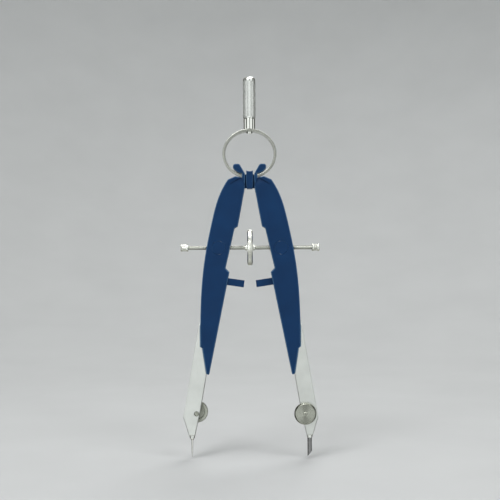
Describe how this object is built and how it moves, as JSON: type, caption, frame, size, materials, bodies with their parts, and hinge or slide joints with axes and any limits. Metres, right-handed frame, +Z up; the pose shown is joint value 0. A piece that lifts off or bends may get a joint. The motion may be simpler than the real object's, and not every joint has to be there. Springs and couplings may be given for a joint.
{
  "type": "drawing compass",
  "caption": "Ring-head bow compass: two moulded legs with metal arms, opened and closed by a centre wheel on a two-way threaded spindle.",
  "frame": {"origin": "midway between the two tips, at the level of the needle's point", "axes": "+X across the legs towards the lead, +Y from the front face to the rear, +Z up towards the handle"},
  "size_m": [0.0622, 0.016, 0.1709],
  "materials": {
    "blue_plastic": "fine moulded texture, dark blue",
    "satin_nickel": "satin nickel plate with bright bevelled edges",
    "satin_grip": "finely fluted satin metal",
    "polished_steel": "polished",
    "spring_steel": "bright rolled strip",
    "plated_brass": "nickel-plated brass, bright edges",
    "thread_steel": "rolled thread, plated",
    "screw_steel": "turned face with fine rings",
    "needle_steel": "ground needle point",
    "graphite": "dark drawing lead with a soft sheen"
  },
  "bodies": {
    "head": {"handle_grip": "satin_grip", "handle_stem": "polished_steel", "handle_rivet": "polished_steel", "ring_spring": "spring_steel", "fulcrum_block": "blue_plastic"},
    "right_leg": {"right_front_shell": "blue_plastic", "right_rear_shell": "blue_plastic", "right_arm": "satin_nickel"},
    "left_leg": {"left_front_shell": "blue_plastic", "left_rear_shell": "blue_plastic", "left_arm": "satin_nickel"},
    "right_nut": {"right_nut": "blue_plastic"},
    "left_nut": {"left_nut": "blue_plastic"},
    "spindle_carriage": {"wheel_collars": "plated_brass"},
    "spindle": {"threaded_spindle": "thread_steel", "thumbwheel": "plated_brass", "right_end_cap": "plated_brass", "left_end_cap": "plated_brass"},
    "right_screw": {"right_clamp_screw": "screw_steel"},
    "left_screw": {"left_clamp_screw": "screw_steel"},
    "needle": {"needle": "needle_steel"},
    "lead": {"lead": "graphite"}
  },
  "joints": [
    {"name": "left_leg_swing", "type": "hinge", "parent": "head", "child": "left_leg", "pos_m": [-0.00135, 0, 0.1255], "axis": [0, 1, 0], "range_deg": [-11.3, 13.5], "deforming": ["ring_spring"]},
    {"name": "right_leg_swing", "type": "hinge", "parent": "head", "child": "right_leg", "pos_m": [0.00135, 0, 0.1255], "axis": [0, -1, 0], "range_deg": [-11.3, 13.5], "deforming": ["ring_spring"]},
    {"name": "left_nut_turn", "type": "hinge", "parent": "left_leg", "child": "left_nut", "pos_m": [-0.0141, 0, 0.0942], "axis": [0, 1, 0], "range_deg": [-13.5, 11.3]},
    {"name": "right_nut_turn", "type": "hinge", "parent": "right_leg", "child": "right_nut", "pos_m": [0.0141, 0, 0.0942], "axis": [0, -1, 0], "range_deg": [-13.5, 11.3]},
    {"name": "spindle_travel", "type": "slide", "parent": "left_nut", "child": "spindle_carriage", "axis": [1, 0, 0], "range_m": [-0.0062, 0.0074]},
    {"name": "wheel_turn", "type": "hinge", "parent": "spindle_carriage", "child": "spindle", "pos_m": [0, 0, 0.0942], "axis": [1, 0, 0], "range_deg": [-2445.6, 2921.7]},
    {"name": "left_screw_turn", "type": "hinge", "parent": "left_leg", "child": "left_screw", "pos_m": [-0.0243, 0, 0.02], "axis": [0, 1, 0], "range_deg": [0, 720]},
    {"name": "right_screw_turn", "type": "hinge", "parent": "right_leg", "child": "right_screw", "pos_m": [0.0243, 0, 0.02], "axis": [0, -1, 0], "range_deg": [0, 720]},
    {"name": "needle_slide", "type": "slide", "parent": "left_leg", "child": "needle", "axis": [0, 0, -1], "range_m": [0, 0.006]},
    {"name": "lead_slide", "type": "slide", "parent": "right_leg", "child": "lead", "axis": [0, 0, -1], "range_m": [-0.0015, 0.008]}
  ],
  "couplings": [
    {"joint": "right_leg_swing", "follows": "left_leg_swing", "ratio": 1},
    {"joint": "left_nut_turn", "follows": "left_leg_swing", "ratio": -1},
    {"joint": "right_nut_turn", "follows": "left_leg_swing", "ratio": -1},
    {"joint": "spindle_travel", "follows": "left_leg_swing", "m_per_rad": 0.031},
    {"joint": "wheel_turn", "follows": "left_leg_swing", "ratio": 216.42}
  ]
}
